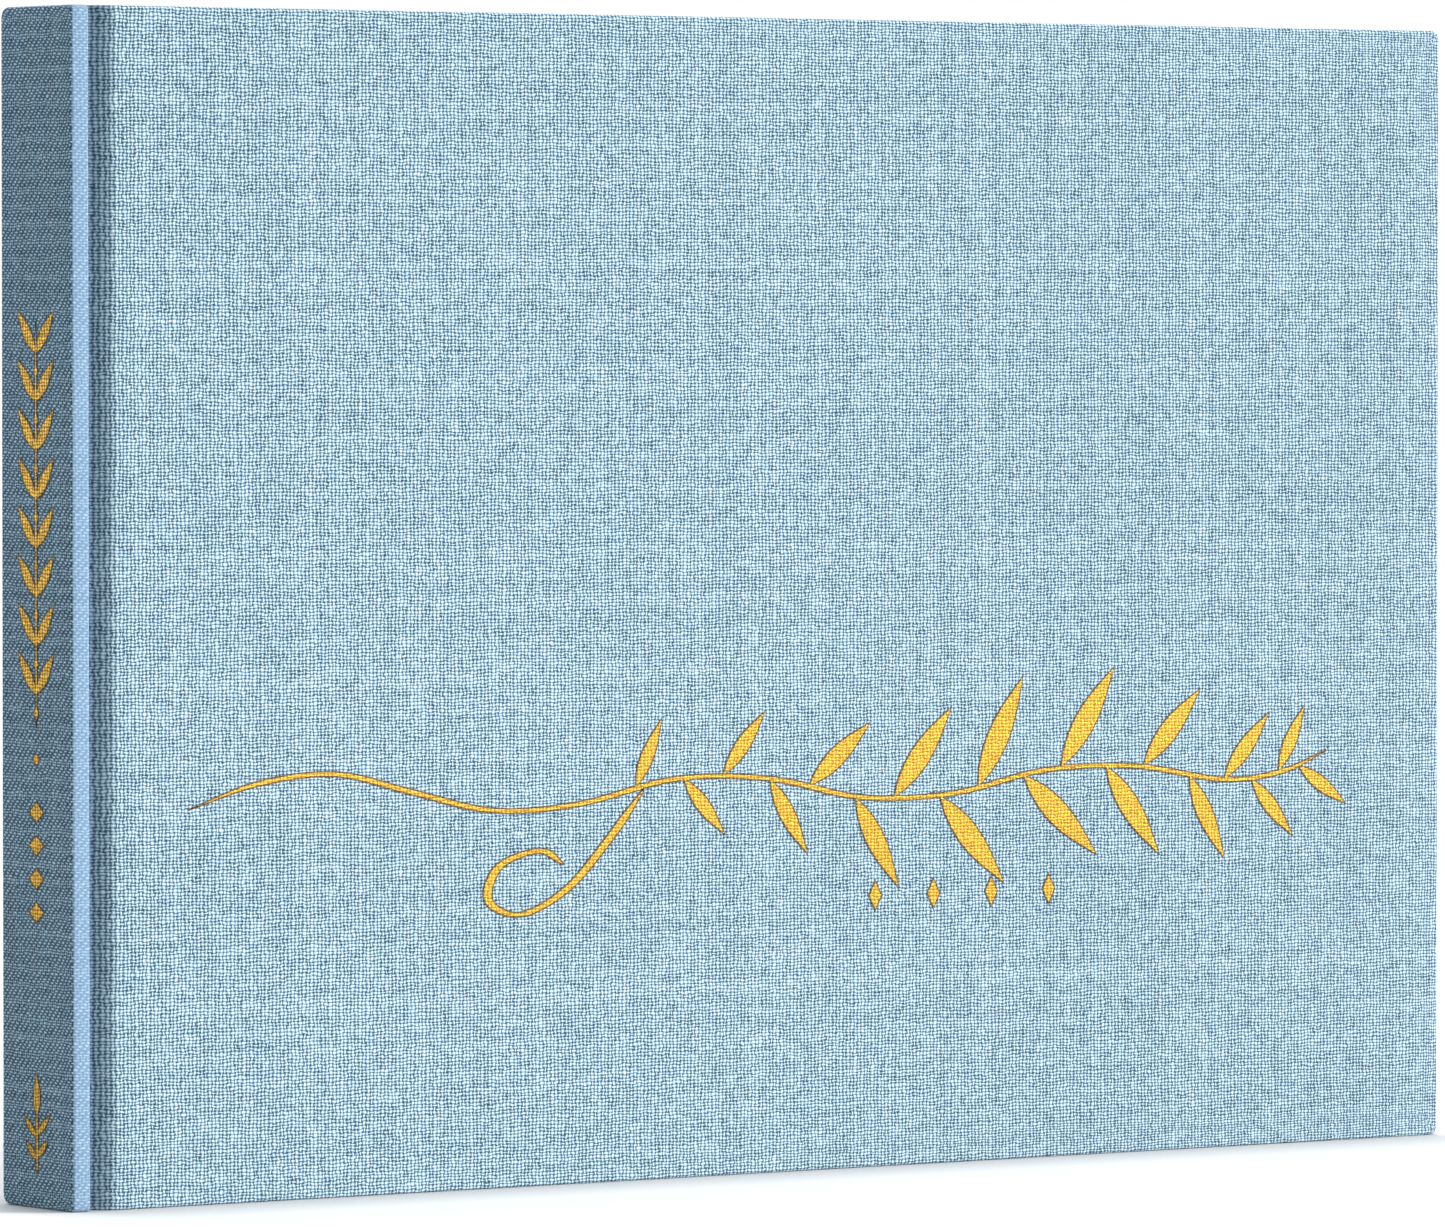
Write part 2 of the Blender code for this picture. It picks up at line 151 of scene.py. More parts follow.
def loop_points(low, high, low_radius, high_radius, per_corner, per_side):
    """A rounded rectangle, as (a, b, outward a, outward b, share), with its own radius at the low a side.

    The share is 1 on the side at the low a, 0 on the others, and goes from one to the other in its corners.
    """
    corners = (
        ((high[0] - high_radius, low[1] + high_radius), high_radius, -90, 0.0, 0.0),
        ((high[0] - high_radius, high[1] - high_radius), high_radius, 0, 0.0, 0.0),
        ((low[0] + low_radius, high[1] - low_radius), low_radius, 90, 0.0, 1.0),
        ((low[0] + low_radius, low[1] + low_radius), low_radius, 180, 1.0, 0.0),
    )
    points = []
    for index, (centre, radius, first, share_in, share_out) in enumerate(corners):
        for step in range(per_corner + 1):
            turn = step / per_corner
            angle = math.radians(first + 90 * turn)
            out = Vector((math.cos(angle), math.sin(angle)))
            share = share_in + (share_out - share_in) * turn
            points.append((*(Vector(centre) + out * radius), *out, share))
        next_centre, next_radius, next_first, _, _ = corners[(index + 1) % 4]
        angle = math.radians(next_first)
        start = points[-1]
        end = Vector(next_centre) + Vector((math.cos(angle), math.sin(angle))) * next_radius
        for step in range(1, per_side):
            spot = Vector(start[:2]).lerp(end, step / per_side)
            points.append((*spot, *start[2:]))
    return points


def tray(name, low, high, corners, profile, place, cuts=(), per_corner=8, per_side=6):
    """Cloth wrapped over a board and turned in behind it, as one closed shell.

    Each profile step is (inset, depth, low-side inset, low-side depth), from the face round the edge to
    the end of the turn-in, and back along the inside of the cloth. cuts are values of a where the shell
    needs an edge all round. place turns (a, b, depth) into a point.
    The map "cloth" lays the sheet flat, so that a weave runs over the edges unbroken.
    """
    shape = bmesh.new()
    layer = shape.loops.layers.uv.new("cloth")
    folded = None
    rings = []
    flat = {}
    for inset, depth, low_inset, low_depth in profile:
        inner_low = (low[0] + low_inset, low[1] + inset)
        inner_high = (high[0] - inset, high[1] - inset)
        low_radius = max(corners[0] - max(inset, 0.0), LEAST_CORNER)
        high_radius = max(corners[1] - max(inset, 0.0), LEAST_CORNER)
        spots = loop_points(inner_low, inner_high, low_radius, high_radius, per_corner, per_side)
        ring = []
        for a, b, _, _, share in spots:
            ring.append(Vector((a, b, depth + (low_depth - depth) * share)))
        if folded is None:
            folded = [0.0] * len(ring)
        else:
            for index, (point, before) in enumerate(zip(ring, rings[-1][1])):
                step = point - before
                outward = step.x * spots[index][2] + step.y * spots[index][3]
                folded[index] += step.length - outward
        verts = [shape.verts.new(point) for point in ring]
        for index, vert in enumerate(verts):
            a, b, out_a, out_b, _ = spots[index]
            flat[vert] = (a + out_a * folded[index], b + out_b * folded[index])
        rings.append((verts, ring))
    for (first, _), (second, _) in zip(rings, rings[1:]):
        for index in range(len(first)):
            after = (index + 1) % len(first)
            shape.faces.new((first[index], first[after], second[after], second[index]))
    for ring, _ in (rings[0], rings[-1]):
        shape.faces.new(ring)
    bmesh.ops.recalc_face_normals(shape, faces=shape.faces)
    for face in shape.faces:
        for loop in face.loops:
            loop[layer].uv = flat[loop.vert]
    for cut in cuts:
        everything = shape.verts[:] + shape.edges[:] + shape.faces[:]
        bmesh.ops.bisect_plane(shape, geom=everything, plane_co=(cut, 0, 0), plane_no=(1, 0, 0), dist=1e-7)
    for vert in shape.verts:
        vert.co = place(*vert.co)
    bmesh.ops.recalc_face_normals(shape, faces=shape.faces)
    return mesh_object(name, shape)


def ribbon(name, outline, z_stations, uv_of):
    """A closed outline in plan, drawn up through several heights; uv_of maps each point to the cloth."""
    shape = bmesh.new()
    layer = shape.loops.layers.uv.new("cloth")
    centre = sum((Vector(point) for point in outline), Vector((0.0, 0.0))) / len(outline)
    levels = []
    for z, shrink in z_stations:
        level = []
        for point in outline:
            spot = Vector(point)
            spot += (centre - spot).normalized() * shrink
            level.append(shape.verts.new((spot.x, spot.y, z)))
        levels.append(level)
    for lower, upper in zip(levels, levels[1:]):
        for index in range(len(outline)):
            after = (index + 1) % len(outline)
            shape.faces.new((lower[index], lower[after], upper[after], upper[index]))
    shape.faces.new(levels[0])
    shape.faces.new(levels[-1])
    bmesh.ops.recalc_face_normals(shape, faces=shape.faces)
    for face in shape.faces:
        for loop in face.loops:
            loop[layer].uv = uv_of(loop.vert.co)
    return mesh_object(name, shape)


# ---------------------------------------------------------------- material helpers

class Nodes:
    """A short way to write a node tree: each call adds a node and returns its output."""

    def __init__(self, tree):
        self.tree = tree

    def add(self, kind, inputs=(), **settings):
        node = self.tree.nodes.new(kind)
        for key, value in settings.items():
            setattr(node, key, value)
        pairs = inputs.items() if isinstance(inputs, dict) else enumerate(inputs)
        for key, value in pairs:
            if value is None:
                continue
            self.feed(node.inputs[key], value)
        return node

    def feed(self, socket, value):
        if isinstance(value, bpy.types.NodeSocket):
            self.tree.links.new(value, socket)
        else:
            socket.default_value = value

    def math(self, operation, *values, clamp=False):
        return self.add("ShaderNodeMath", values, operation=operation, use_clamp=clamp).outputs[0]

    def noise(self, vector, scale, detail=2.0, roughness=0.5, dimensions="3D"):
        values = {"Vector": vector, "Scale": scale, "Detail": detail, "Roughness": roughness}
        return self.add("ShaderNodeTexNoise", values, noise_dimensions=dimensions).outputs["Fac"]

    def scaled(self, vector, scale):
        return self.add("ShaderNodeVectorMath", (vector, scale), operation="MULTIPLY").outputs[0]

    def ramp(self, value, low, high, to_low=0.0, to_high=1.0):
        values = (value, low, high, to_low, to_high)
        return self.add("ShaderNodeMapRange", values, clamp=True).outputs[0]

    def mix(self, share, first, second, blend="MIX"):
        node = self.add("ShaderNodeMix", data_type="RGBA", blend_type=blend)
        self.feed(node.inputs[0], share)
        self.feed(node.inputs[6], first)
        self.feed(node.inputs[7], second)
        return node.outputs[2]

    def bump(self, height, strength, distance, normal=None):
        values = {"Height": height, "Strength": strength, "Distance": distance, "Normal": normal}
        return self.add("ShaderNodeBump", values).outputs[0]

    def group(self, tree, **inputs):
        node = self.add("ShaderNodeGroup", node_tree=tree)
        for key, value in inputs.items():
            self.feed(node.inputs[key.replace("_", " ")], value)
        return node


def new_group(name, inputs, outputs):
    """A shader node group with named sockets, given as (name, type, default)."""
    tree = bpy.data.node_groups.new(name, "ShaderNodeTree")
    for label, kind, default in inputs:
        socket = tree.interface.new_socket(label, in_out="INPUT", socket_type=kind)
        if default is not None:
            socket.default_value = default
    for label, kind in outputs:
        tree.interface.new_socket(label, in_out="OUTPUT", socket_type=kind)
    source = tree.nodes.new("NodeGroupInput")
    sink = tree.nodes.new("NodeGroupOutput")
    return tree, Nodes(tree), source.outputs, sink.inputs


FLOAT = "NodeSocketFloat"
VECTOR = "NodeSocketVector"


def new_material(name, roughness, metallic=0.0, sheen=0.0, sheen_roughness=0.5):
    surface = bpy.data.materials.new(name)
    surface.use_nodes = True
    shader = surface.node_tree.nodes["Principled BSDF"]
    shader.inputs["Roughness"].default_value = roughness
    shader.inputs["Metallic"].default_value = metallic
    shader.inputs["Sheen Weight"].default_value = sheen
    shader.inputs["Sheen Roughness"].default_value = sheen_roughness
    return surface, Nodes(surface.node_tree), shader


# ---------------------------------------------------------------- shared effects

def thread(nodes, along, across, index, openness, uneven):
    """The height of one system of threads here, 0 between two threads, and how thick this one is here."""
    seed = nodes.add("ShaderNodeCombineXYZ", (index, 7.3, 1.9)).outputs[0]
    own = nodes.add("ShaderNodeTexWhiteNoise", {"Vector": seed}, noise_dimensions="3D").outputs[0]
    place = nodes.add("ShaderNodeCombineXYZ", (nodes.math("MULTIPLY", along, 0.14), index, 3.1)).outputs[0]
    slub = nodes.noise(place, 1.0, 1.0, 0.6)
    swing = nodes.math("MULTIPLY_ADD", own, 0.45, nodes.math("MULTIPLY", slub, 1.6))
    swing = nodes.math("SUBTRACT", swing, 1.02)
    width = nodes.math("MULTIPLY_ADD", swing, uneven, THREAD_HALF)
    width = nodes.math("MULTIPLY", width, openness)
    offset = nodes.math("SUBTRACT", nodes.math("FRACT", across), 0.5)
    share = nodes.math("DIVIDE", offset, width)
    round_off = nodes.math("SUBTRACT", 1.0, nodes.math("MULTIPLY", share, share))
    return nodes.math("SQRT", nodes.math("MAXIMUM", round_off, 0.0)), swing


def over_and_under(nodes, along, index):
    """1 where a thread is on top, -1 where it is under, in turn along it and from thread to thread."""
    turn = nodes.math("ADD", nodes.math("SUBTRACT", along, 0.5), index)
    return nodes.math("COSINE", nodes.math("MULTIPLY", turn, math.pi))


def weave_group():
    """A plain linen weave on a flat map: the height of its threads, their shades and its streaks."""
    tree, nodes, given, made = new_group(
        "linen_weave",
        (("Map", VECTOR, None), ("Warp Pitch", FLOAT, WARP_PITCH), ("Weft Pitch", FLOAT, WEFT_PITCH),
         ("Uneven", FLOAT, 0.08), ("Warp Share", FLOAT, 1.0), ("Row Shift", FLOAT, 1.0)),
        (("Height", FLOAT), ("Shade", FLOAT), ("Streak", FLOAT)),
    )
    wander_u = nodes.noise(nodes.scaled(given["Map"], (60.0, 60.0, 60.0)), 1.0, 1.0)
    wander_v = nodes.noise(nodes.scaled(given["Map"], (50.0, 80.0, 60.0)), 1.7, 1.0)
    flat = nodes.add("ShaderNodeSeparateXYZ", (given["Map"],))
    u = nodes.math("DIVIDE", flat.outputs[0], given["Warp Pitch"])
    v = nodes.math("DIVIDE", flat.outputs[1], given["Weft Pitch"])
    u = nodes.math("MULTIPLY_ADD", wander_u, WARP_WANDER, u)
    v = nodes.math("MULTIPLY_ADD", wander_v, WEFT_WANDER, v)
    jostle = nodes.add("ShaderNodeTexNoise", {"Vector": given["Map"], "Scale": 900.0, "Detail": 0.0})
    parts = nodes.add("ShaderNodeSeparateColor", (jostle.outputs["Color"],))
    u = nodes.math("MULTIPLY_ADD", parts.outputs[0], JOSTLE, u)
    v = nodes.math("MULTIPLY_ADD", parts.outputs[1], JOSTLE, v)
    warp = nodes.math("FLOOR", u)
    weft = nodes.math("FLOOR", v)
    long_warp = nodes.noise(nodes.scaled(given["Map"], (520.0, 30.0, 1.0)), 1.0, 2.0, 0.7)
    long_weft = nodes.noise(nodes.scaled(given["Map"], (40.0, 700.0, 1.0)), 1.0, 2.0, 0.7)
    streak = nodes.math("MULTIPLY_ADD", long_weft, 0.40, long_warp)
    streak = nodes.math("SUBTRACT", streak, 0.70)
    crossing = nodes.add("ShaderNodeCombineXYZ", (warp, weft, 0.0)).outputs[0]
    loose = nodes.add("ShaderNodeTexWhiteNoise", {"Vector": crossing}, noise_dimensions="3D").outputs[0]
    loose = nodes.math("MULTIPLY_ADD", loose, 0.50, 0.645)
    openness = nodes.math("MULTIPLY_ADD", streak, 0.08, loose)
    warp_round, warp_swing = thread(nodes, v, u, warp, openness, given["Uneven"])
    weft_round, weft_swing = thread(nodes, u, v, weft, openness, given["Uneven"])
    warp_crimp = over_and_under(nodes, v, warp)
    shifted = nodes.math("MULTIPLY", weft, given["Row Shift"])
    weft_crimp = nodes.math("MULTIPLY", over_and_under(nodes, u, shifted), -1.0)
    warp_top = nodes.math("MULTIPLY", warp_round, nodes.math("MULTIPLY_ADD", warp_crimp, CRIMP, 1 - CRIMP))
    warp_top = nodes.math("MULTIPLY", warp_top, given["Warp Share"])
    weft_top = nodes.math("MULTIPLY", weft_round, nodes.math("MULTIPLY_ADD", weft_crimp, CRIMP, 1 - CRIMP))
    height = nodes.math("MAXIMUM", warp_top, weft_top)
    nodes.feed(made["Height"], height)
    nodes.feed(made["Shade"], nodes.math("ADD", warp_swing, weft_swing))
    nodes.feed(made["Streak"], streak)
    return tree


def fibre_group():
    """Fine uneven fibres for paper, card and gauze."""
    tree, nodes, given, made = new_group(
        "fibres",
        (("Place", VECTOR, None), ("Size", FLOAT, 0.4 * MM), ("Cloud Size", FLOAT, 14 * MM)),
        (("Fibre", FLOAT), ("Cloud", FLOAT)),
    )
    fine = nodes.add("ShaderNodeVectorMath", {0: given["Place"]}, operation="SCALE")
    nodes.feed(fine.inputs["Scale"], nodes.math("DIVIDE", 1.0, given["Size"]))
    broad = nodes.add("ShaderNodeVectorMath", {0: given["Place"]}, operation="SCALE")
    nodes.feed(broad.inputs["Scale"], nodes.math("DIVIDE", 1.0, given["Cloud Size"]))
    nodes.feed(made["Fibre"], nodes.noise(fine.outputs[0], 1.0, 4.0, 0.65))
    nodes.feed(made["Cloud"], nodes.noise(broad.outputs[0], 1.0, 3.0, 0.5))
    return tree


WEAVE = weave_group()
FIBRES = fibre_group()

# The bookcloth's colours, and the height in the weave at which each is reached: from the holes between
# its threads up to the crowns of the threads. Besides the thread's blue they hold painted shade, darkest in
# the holes and down the threads' sides, and crowns painted lighter where the light falls on them
PIN_HOLE = (0.012, 0.035, 0.055, 1.0)
THREAD_DEEP = (0.11, 0.20, 0.27, 1.0)
THREAD_SIDE = (0.31, 0.445, 0.545, 1.0)
THREAD_TOP = (0.72, 0.84, 0.86, 1.0)
CLOTH_TONES_AND_SHADE = ((0.16, PIN_HOLE), (0.44, THREAD_DEEP), (0.74, THREAD_SIDE), (1.0, THREAD_TOP))

# On the spine cloth's narrow edges the weave is mixed toward a smoother, bluer tone, and in the groove a
# painted shade darkens the cloth
EDGE_TONE = (0.235, 0.35, 0.50, 1.0)
EDGE_TONE_SHARE = 0.66
PAINTED_GROOVE_SHADE = 0.44


# ---------------------------------------------------------------- materials

def linen_material(name, **weave_settings):
    """Matt linen bookcloth on the cloth's own flat map: pale threads over dark pin-holes, with painted shade
    low in the weave and in the groove.
    """
    surface, nodes, shader = new_material(name, 0.9, sheen=0.08, sheen_roughness=0.5)
    flat = nodes.add("ShaderNodeUVMap", uv_map="cloth").outputs[0]
    weave = nodes.group(WEAVE, Map=flat, **weave_settings)
    edge_tone = nodes.add("ShaderNodeAttribute", attribute_name="edge_tone").outputs["Fac"]
    height = nodes.math("MULTIPLY_ADD", weave.outputs["Shade"], 0.09, weave.outputs["Height"])
    height = nodes.math("MULTIPLY_ADD", weave.outputs["Streak"], 0.03, height)
    mottle = nodes.noise(flat, 1100.0, 1.0, 0.6)
    height = nodes.math("MULTIPLY_ADD", nodes.math("SUBTRACT", mottle, 0.5), 0.24, height)
    # The colour follows the weave's height: the thread's blue with painted shade low in the weave and crowns
    # painted lighter
    tone_and_shade = nodes.add("ShaderNodeValToRGB", {"Fac": height})
    stops = tone_and_shade.color_ramp.elements
    for stop, (place, colour) in zip(stops, (CLOTH_TONES_AND_SHADE[0], CLOTH_TONES_AND_SHADE[-1])):
        stop.position = place
        stop.color = colour
    for place, colour in CLOTH_TONES_AND_SHADE[1:-1]:
        stops.new(place).color = colour
    colour = nodes.mix(nodes.math("MULTIPLY", edge_tone, EDGE_TONE_SHARE), tone_and_shade.outputs[0], EDGE_TONE)
    # Painted shade in the groove: the colour is darkened toward the pin-hole dark on the groove's far wall
    painted_groove_shade = nodes.add("ShaderNodeAttribute", attribute_name="painted_groove_shade").outputs["Fac"]
    colour = nodes.mix(nodes.math("MULTIPLY", painted_groove_shade, PAINTED_GROOVE_SHADE), colour, PIN_HOLE)
    nodes.feed(shader.inputs["Base Color"], colour)
    nodes.feed(shader.inputs["Normal"], nodes.bump(weave.outputs["Height"], 0.55, 0.14 * MM))
    return surface


def foil_material(name, low, high):
    """Gold foil pressed into the cloth, whose ribs show through it."""
    surface, nodes, shader = new_material(name, 0.42, metallic=0.72)
    place = nodes.add("ShaderNodeTexCoord").outputs["Object"]
    parts = nodes.add("ShaderNodeSeparateXYZ", (place,))
    across = nodes.math("ADD", parts.outputs[0], parts.outputs[1])
    flat = nodes.add("ShaderNodeCombineXYZ", (across, parts.outputs[2], 0.0)).outputs[0]
    weave = nodes.group(WEAVE, Map=flat)
    speck = nodes.noise(place, 1500.0, 2.0, 0.7)
    height = nodes.math("MULTIPLY_ADD", nodes.math("SUBTRACT", speck, 0.5), 1.1, weave.outputs["Height"])
    share = nodes.ramp(height, 0.25, 1.0)
    nodes.feed(shader.inputs["Base Color"], nodes.mix(share, low, high))
    nodes.feed(shader.inputs["Roughness"], nodes.ramp(share, 0.0, 1.0, 0.60, 0.36))
    nodes.feed(shader.inputs["Normal"], nodes.bump(height, 0.5, 0.08 * MM))
    return surface


def paper_material(name, colour, shaded):
    surface, nodes, shader = new_material(name, 0.85)
    place = nodes.add("ShaderNodeTexCoord").outputs["Object"]
    fibres = nodes.group(FIBRES, Place=place)
    share = nodes.ramp(fibres.outputs["Cloud"], 0.3, 0.7, 0.0, 0.5)
    share = nodes.math("MULTIPLY_ADD", fibres.outputs["Fibre"], 0.5, share, clamp=True)
    nodes.feed(shader.inputs["Base Color"], nodes.mix(share, colour, shaded))
    nodes.feed(shader.inputs["Roughness"], nodes.ramp(fibres.outputs["Fibre"], 0.3, 0.7, 0.78, 0.92))
    nodes.feed(shader.inputs["Normal"], nodes.bump(fibres.outputs["Fibre"], 0.25, 0.03 * MM))
    return surface


def gauze_material():
    """Starched open gauze: a wide plain weave with dark holes."""
    surface, nodes, shader = new_material("gauze", 0.9)
    place = nodes.add("ShaderNodeTexCoord").outputs["Object"]
    parts = nodes.add("ShaderNodeSeparateXYZ", (place,))
    across = nodes.math("ADD", parts.outputs[0], parts.outputs[1])
    flat = nodes.add("ShaderNodeCombineXYZ", (across, parts.outputs[2], 0.0)).outputs[0]
    weave = nodes.group(WEAVE, Map=flat, Warp_Pitch=1.1 * MM, Weft_Pitch=1.1 * MM)
    open_share = nodes.ramp(weave.outputs["Height"], 0.45, 0.15)
    colour = nodes.mix(open_share, (0.80, 0.78, 0.70, 1.0), (0.35, 0.33, 0.28, 1.0))
    nodes.feed(shader.inputs["Base Color"], colour)
    nodes.feed(shader.inputs["Normal"], nodes.bump(weave.outputs["Height"], 0.6, 0.15 * MM))
    return surface


def thread_material(name, colour, dark):
    """Twisted thread: fine slanting strands."""
    surface, nodes, shader = new_material(name, 0.7, sheen=0.2)
    place = nodes.add("ShaderNodeTexCoord").outputs["Object"]
    turned = nodes.add("ShaderNodeMapping", {"Vector": place, "Rotation": (0.5, 0.6, 0.4)}).outputs[0]
    strands = nodes.add("ShaderNodeTexWave", {"Vector": turned, "Scale": 1600.0, "Distortion": 1.0})
    wave = strands.outputs["Fac"]
    nodes.feed(shader.inputs["Base Color"], nodes.mix(wave, dark, colour))
    nodes.feed(shader.inputs["Normal"], nodes.bump(wave, 0.4, 0.05 * MM))
    return surface


LINEN = linen_material("linen_bookcloth")
# On the spine the warp sits lower than the weft: real relief in the bump, and through the colour by height a
# painted shade on the warp threads, standing in for raking light
SPINE_LINEN = linen_material("linen_bookcloth_spine", Warp_Share=0.75, Row_Shift=0.66, Warp_Pitch=0.62 * MM,
                             Weft_Pitch=0.44 * MM)
FOIL = foil_material("gold_foil", (0.32, 0.15, 0.015, 1.0), (0.82, 0.47, 0.05, 1.0))
# Painted shade for the foil's rims and sides
FOIL_PAINTED_SHADE = foil_material("gold_foil_painted_shade", (0.05, 0.04, 0.03, 1.0), (0.22, 0.13, 0.04, 1.0))
PAGE = paper_material("writing_paper", (0.90, 0.88, 0.82, 1.0), (0.80, 0.77, 0.69, 1.0))
ENDPAPER = paper_material("end_paper", (0.88, 0.87, 0.83, 1.0), (0.79, 0.77, 0.71, 1.0))
CARD = paper_material("grey_card", (0.34, 0.32, 0.29, 1.0), (0.22, 0.21, 0.19, 1.0))
KRAFT = paper_material("lining_paper", (0.46, 0.33, 0.20, 1.0), (0.36, 0.25, 0.15, 1.0))
GAUZE = gauze_material()
THREAD = thread_material("sewing_thread", (0.86, 0.85, 0.80, 1.0), (0.55, 0.53, 0.47, 1.0))
BAND_WHITE = thread_material("band_white", (0.88, 0.88, 0.85, 1.0), (0.55, 0.56, 0.55, 1.0))
BAND_BLUE = thread_material("band_blue", (0.30, 0.47, 0.60, 1.0), (0.12, 0.22, 0.32, 1.0))


# ---------------------------------------------------------------- the case

def cover_profile():
    """From the face round the edge to the turned-in end and back inside. The groove side isn't turned in."""
    steps = [(5 * MM, OUTER, 0.0, OUTER)]
    for share in shares(6):
        angle = math.radians(90 * share)
        inset = EDGE_ROUND * (1 - math.sin(angle))
        depth = OUTER - EDGE_ROUND * (1 - math.cos(angle))
        steps.append((inset, depth, 0.0, depth))
    for share in shares(4):
        angle = math.radians(90 * share)
        inset = EDGE_ROUND * (1 - math.cos(angle))
        depth = CASE_INNER + EDGE_ROUND * (1 - math.sin(angle))
        steps.append((inset, depth, 0.0, depth))
    inside = CASE_INNER + CLOTH * INNER_LAYER
    board_side = COVER_X + CLOTH - SPINE_INNER_X
    steps.append((TURN_IN, CASE_INNER, board_side, CASE_INNER))
    steps.append((TURN_IN, inside, board_side, inside))
    steps.append((CLOTH, inside, board_side, inside))
    steps.append((CLOTH, OUTER - CLOTH, board_side, OUTER - CLOTH))
    return steps


def groove_stations():
    """Places across the groove: its floor, and its far wall, which bends over onto the cover."""
    stations = []
    for share in shares(FLOOR_STEPS)[1:]:
        x = SPINE_INNER_X + (RISE_START - SPINE_INNER_X) * share
        stations.append((x, HINGE_DEPTH))
    for share in shares(RISE_STEPS)[1:]:
        x = RISE_START + (RISE_END - RISE_START) * share
        rise = 1 - (1 - share) ** RISE_POWER
        stations.append((x, HINGE_DEPTH + (OUTER - HINGE_DEPTH) * rise))
    return stations


def groove_depth(x, stations):
    """How far out the cloth's face is at x."""
    if x <= stations[0][0]:
        return stations[0][1]
    for (x_0, depth_0), (x_1, depth_1) in zip(stations, stations[1:]):
        if x <= x_1:
            return depth_0 + (depth_1 - depth_0) * (x - x_0) / (x_1 - x_0)
    return OUTER


def make_cover_cloth(label, side):
    """The cloth from the spine across the groove and over the board, which bends in the groove."""
    stations = groove_stations()

    def place(a, b, depth):
        share = (groove_depth(a, stations) - CASE_INNER) / (OUTER - CASE_INNER)
        return (a, side * (CASE_INNER + (depth - CASE_INNER) * share), b)

    low = (SPINE_INNER_X + 0.01 * MM, 0.0)
    high = (FORE_X, HEIGHT)
    corners = (GROOVE_CORNER, COVER_CORNER)
    cuts = [x for x, _ in stations]
    cloth = tray(f"{label}_cover_cloth", low, high, corners, cover_profile(), place, cuts)
    # Painted shade on the groove's far wall: full near its foot, fading out as it rises onto the cover
    painted_groove_shade = cloth.data.attributes.new("painted_groove_shade", "FLOAT", "POINT")
    for vert, item in zip(cloth.data.vertices, painted_groove_shade.data):
        share = (vert.co.x - RISE_START) / (RISE_END - RISE_START)
        item.value = min(1.0, 1.7 * (1.0 - share)) if -0.01 < share < 1.0 else 0.0
    dress(cloth, LINEN)
    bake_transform(cloth)
    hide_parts(f"{label}_cloth", f"{label}_joint_cloth")


def spine_profile():
    steps = [(3 * MM, 0.0, 3 * MM, 0.0)]
    for share in shares(6):
        angle = math.radians(90 * share)
        inset = EDGE_ROUND * (1 - math.sin(angle))
        depth = EDGE_ROUND * (1 - math.cos(angle))
        steps.append((inset, depth, inset, depth))
    through = SPINE_INNER_X - SPINE_X
    for share in shares(4):
        angle = math.radians(90 * share)
        inset = EDGE_ROUND * (1 - math.cos(angle))
        depth = through - EDGE_ROUND * (1 - math.sin(angle))
        steps.append((inset, depth, inset, depth))
    lip = OUTER - HINGE_DEPTH
    steps.append((lip, through, lip, through))
    steps.append((lip, through - CLOTH, lip, through - CLOTH))
    steps.append((CLOTH, through - CLOTH, CLOTH, through - CLOTH))
    steps.append((CLOTH, CLOTH, CLOTH, CLOTH))
    return steps


def make_spine_cloth():
    def place(a, b, depth):
        return (SPINE_X + depth, a, b)

    corners = (SPINE_FRONT_CORNER, SPINE_BACK_CORNER)
    cloth = tray("spine_cover_cloth", (-OUTER, 0.0), (OUTER, HEIGHT), corners, spine_profile(), place)
    # The spine cloth's narrow edges, which the linen mixes toward a smoother, bluer tone
    edge_tone = cloth.data.attributes.new("edge_tone", "FLOAT", "POINT")
    for vert, item in zip(cloth.data.vertices, edge_tone.data):
        item.value = 1.0 if vert.co.x > SPINE_X + 0.4 * EDGE_ROUND else 0.0
    dress(cloth, SPINE_LINEN)
    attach(cloth, "spine")
    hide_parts("spine_cloth")


# ---------------------------------------------------------------- the pages

def page_reaches(length):
    """Where a leaf has points along its width: close together where it bends."""
    bend = [1.0, 2.0, 3.2, 4.6, 6.2, 8.0, 10.0, 12.5, 15.0, 18.0, 21.0, 24.5, 28.0, 32.0, 38.0]
    far = [0.25, 0.4, 0.55, 0.7, 0.85]
    return [reach * MM for reach in bend] + [length * share for share in far] + [length]


def folded_sheet(shape, fold, half, length, z_low, z_high):
    """One folded sheet added to a mesh: its fold is round, at fold, and both leaves end at length."""
    reaches = page_reaches(length)
    inner = half - LEAF
    outside = [(reach, half) for reach in reversed(reaches)]
    inside = [(reach, inner) for reach in reversed(reaches)]
    for step in range(9):
        angle = math.radians(90 + 180 * step / 8)
        outside.append((math.cos(angle) * half, math.sin(angle) * half))
        inside.append((math.cos(angle) * inner, math.sin(angle) * inner))
    outside += [(reach, -half) for reach in reaches]
    inside += [(reach, -inner) for reach in reaches]
    rows = []
    for z in (z_low, z_high):
        for path in (outside, inside):
            rows.append([shape.verts.new((fold.x + x, fold.y + y, z)) for x, y in path])
    low_out, low_in, high_out, high_in = rows
    for index in range(len(outside) - 1):
        after = index + 1
        shape.faces.new((low_out[index], low_out[after], high_out[after], high_out[index]))
        shape.faces.new((low_in[after], low_in[index], high_in[index], high_in[after]))
        shape.faces.new((low_out[after], low_out[index], low_in[index], low_in[after]))
        shape.faces.new((high_out[index], high_out[after], high_in[after], high_in[index]))
    for index, flip in ((0, False), (len(outside) - 1, True)):
        end = [low_out[index], high_out[index], high_in[index], low_in[index]]
        shape.faces.new(end[::-1] if flip else end)


